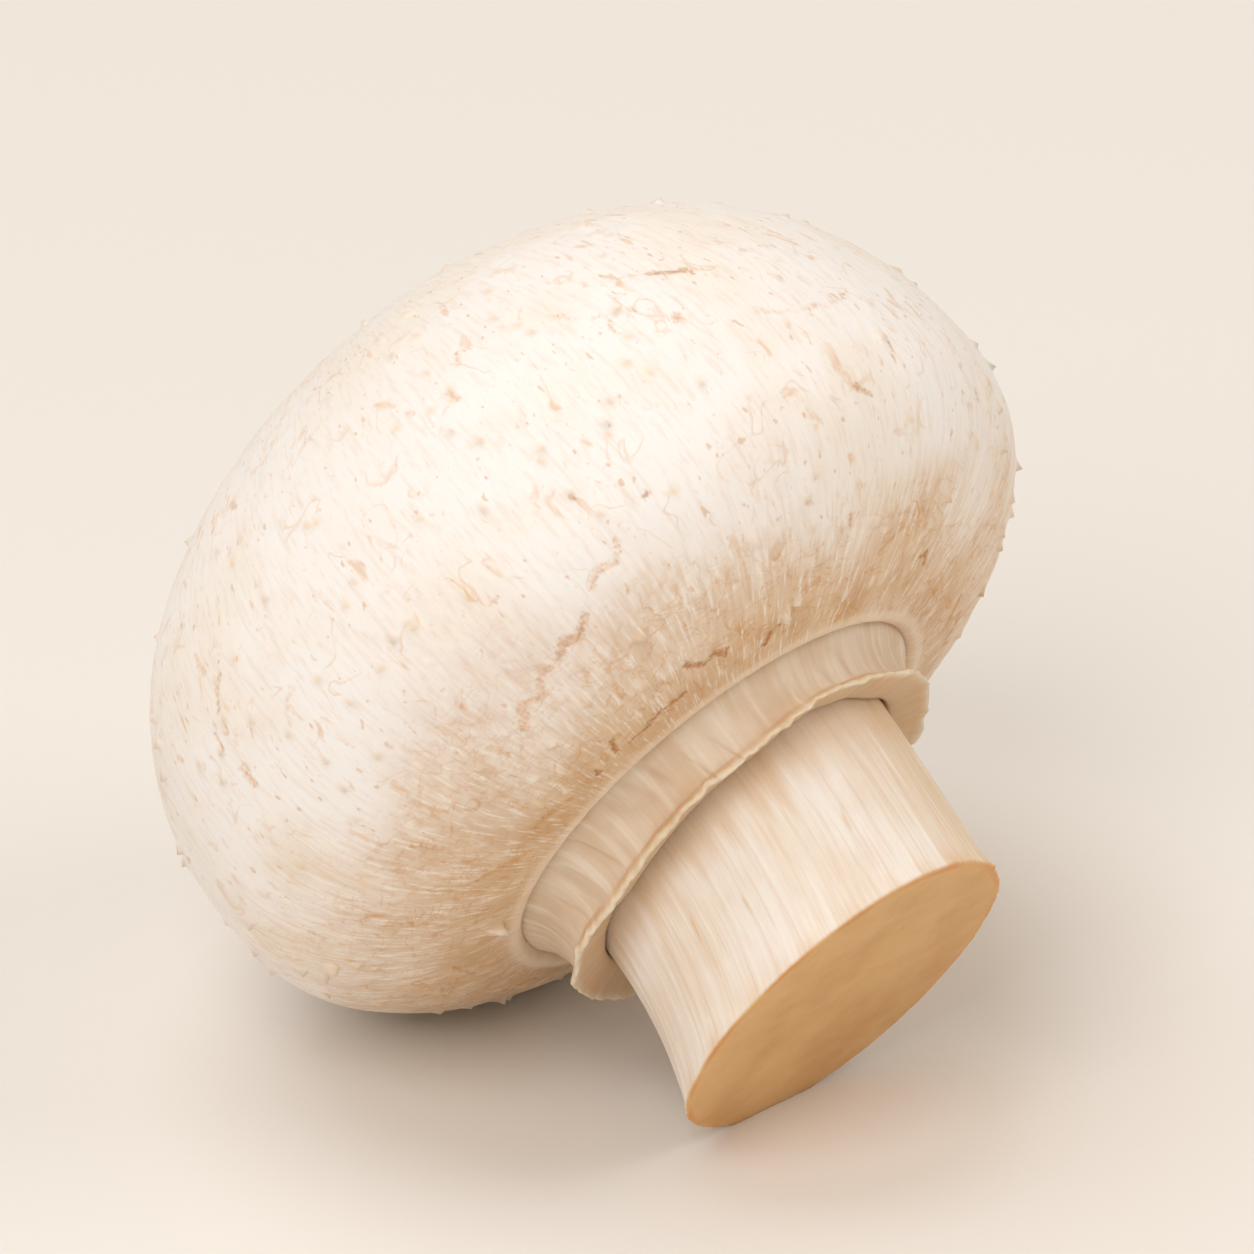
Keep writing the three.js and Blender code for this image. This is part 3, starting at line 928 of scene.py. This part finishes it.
def make_stem():
    """From the hidden top down the fibrous side, over the sharp cut edge and in across the cut end."""
    top = SEAT_HEIGHT - 0.04  # just under the cap's seat
    side_z = np.linspace(top, 0.25 - STEM_LENGTH, STEM_ROWS)
    side_r = stem_radius(side_z)
    # a very small round at the cut edge
    edge_z = np.array([0.13, 0.06, 0.015]) - STEM_LENGTH
    edge_r = CUT_RADIUS - np.array([0.01, 0.04, 0.11])
    face_r = np.linspace(CUT_RADIUS - 0.22, 0.3, CUT_ROWS)
    roof_r = np.array([1.0, 5.0])
    outline = np.stack([
        np.concatenate([roof_r, side_r, edge_r, face_r]),
        np.concatenate([np.full_like(roof_r, top), side_z, edge_z, np.full(CUT_ROWS, -STEM_LENGTH)]),
    ], -1)
    radius, height, turn = turned(outline, STEM_SIDES)
    first_face = len(outline) - CUT_ROWS
    on_face = np.broadcast_to(np.arange(len(outline))[:, None] >= first_face, turn.shape)
    on_side = ~on_face & (np.arange(len(outline))[:, None] >= len(roof_r))

    from_cut = height + STEM_LENGTH
    push = 0.12 * ring_noise(turn, height, 1.6, 9, 3) + 0.07 * ring_noise(turn, height, 4, 12, 5)
    push += 0.035 * ring_noise(turn, height, 11, 7, 7) + 0.022 * ring_noise(turn, height, 22, 5, 9)
    # fibres stand up a little along the cut, and leave small nicks in its edge
    nicks = 0.06 * ring_noise(turn, 0, 16, 1, 13) + 0.05 * ring_noise(turn, 0, 34, 1, 15)
    push += 0.10 * hump(from_cut, 0.5) + nicks * hump(from_cut, 0.35)
    radius = radius + push * np.where(on_face, radius / CUT_RADIUS, on_side)
    points = np.stack([radius * np.cos(turn), radius * np.sin(turn), height], -1)
    points[..., :2] += follow(height)
    share = radius / CUT_RADIUS
    hollow = 0.16 * (1 - smoothstep(0.0, 0.96, share))
    rough = 0.05 * noise(points / 1.7, 17) + 0.025 * noise(points / 0.6, 19)
    points[..., 2] += np.where(on_face, hollow + rough * smoothstep(1.0, 0.9, share), 0)

    walk = np.append(0, np.cumsum(np.linalg.norm(np.diff(outline, axis=0), axis=1)))
    # the knife went across the cut end, so noise on this is long that way
    slice_way = points * np.array([0.3, 0.7, 0.0])
    # tan patches along the cut's edge
    ends = hump(from_cut, 0.8) * smoothstep(-0.2, 0.6, ring_noise(turn, 0, 5, 1, 21))
    # painted shade: it is a little browner just under the veil
    veil_shade = smoothstep(2.6, 0.0, -VEIL_LENGTH - height + 1.2 * ring_noise(turn, 0, 12, 1, 29))
    # broad warm bands run the whole length, and one more is painted shade, on the side that the
    # photograph shows in shade
    warm_and_shade = smoothstep(0.0, 0.7, ring_noise(turn, height, 3, 16, 27))
    middle, width = SHADED_BAND
    warm_and_shade = np.maximum(warm_and_shade, hump(np.degrees(turn) - middle, width)) * ~on_face
    fields = {
        "place": points,
        "grain": unrolled(turn, STEM_RADIUS, walk[:, None]),
        "slice": slice_way,
        "cut": np.where(on_face, 1.0, hump(from_cut, 0.12) * on_side),
        "rim": smoothstep(0.965, 0.995, share) * smoothstep(-0.5, 0.3, ring_noise(turn, 0, 3, 1, 25)),
        "ends": ends,
        "warm_and_shade": warm_and_shade,
        "veil_shade": veil_shade * ~on_face,
    }
    # the map's middle is the middle of the cut end, and its edge is the top of the side
    reach = np.append((walk[-1] - walk) + 0.3, 0)
    reach /= reach[len(roof_r)]
    reach = np.insert(np.minimum(reach, 1), 0, 1)
    tucked_reach = np.append([0, 0.2, 0.6], np.ones(len(outline) - 1))
    tucked_faces = np.arange(len(outline) + 1) < len(roof_r) + 1
    layout = disc_layout(reach, tucked_faces, tucked_reach, STEM_SIDES)
    return make_piece("stem_flesh", points, fields, layout, stem_material())


# ---------------------------------------------------------------- floor, light and camera

def make_floor():
    mesh = bpy.data.meshes.new("floor")
    corners = [(x * FLOOR_REACH, y * FLOOR_REACH, 0) for x, y in ((-1, -1), (1, -1), (1, 1), (-1, 1))]
    mesh.from_pydata(corners, [], [(0, 1, 2, 3)])
    s = Shader("floor", roughness=0.9)
    s.surface.inputs["Base Color"].default_value = linear(FLOOR_COLOUR)
    s.surface.inputs["Specular IOR Level"].default_value = 0.1
    mesh.materials.append(s.material)
    floor = bpy.data.objects.new("floor", mesh)
    bpy.context.scene.collection.objects.link(floor)


def aim(thing, place, target):
    """Puts a light or the camera in its place, turned towards the target."""
    thing.location = place
    thing.rotation_euler = (Vector(target) - Vector(place)).to_track_quat("-Z", "Y").to_euler()
    bpy.context.scene.collection.objects.link(thing)


def make_light(name, place, size, power, target):
    light = bpy.data.lights.new(name, "AREA")
    light.shape = "DISK"
    light.size = size
    light.energy = power
    aim(bpy.data.objects.new(name, light), place, target)


def make_camera(target):
    level = math.cos(CAMERA_ELEVATION)
    towards = Vector((
        math.sin(CAMERA_AZIMUTH) * level,
        -math.cos(CAMERA_AZIMUTH) * level,
        math.sin(CAMERA_ELEVATION),
    ))
    data = bpy.data.cameras.new("camera")
    data.sensor_width = 36
    data.lens = data.sensor_width * CAMERA_DISTANCE / CAMERA_FRAME
    data.clip_start = 0.01
    camera = bpy.data.objects.new("camera", data)
    aim(camera, target + towards * CAMERA_DISTANCE, target)
    bpy.context.scene.camera = camera


def set_studio():
    scene = bpy.context.scene
    scene.view_settings.view_transform = "Standard"
    world = bpy.data.worlds.new("studio")
    world.use_nodes = True
    background = world.node_tree.nodes["Background"]
    background.inputs["Color"].default_value = WORLD_COLOUR
    background.inputs["Strength"].default_value = WORLD_STRENGTH
    scene.world = world
    middle = (Vector(cad_box[0]) + Vector(cad_box[1])) / 2
    for name, place, size, power in LIGHTS:
        make_light(name, place, size, power, middle)
    make_camera(middle)
    make_floor()


set_studio()
for make, node, slot in (
    (make_cap, "cap", "cap_skin"),
    (make_veil, "veil", "veil"),
    (make_stem, "stem", "stem_flesh"),
):
    piece = make()
    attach(piece, "root")
    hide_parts(node)
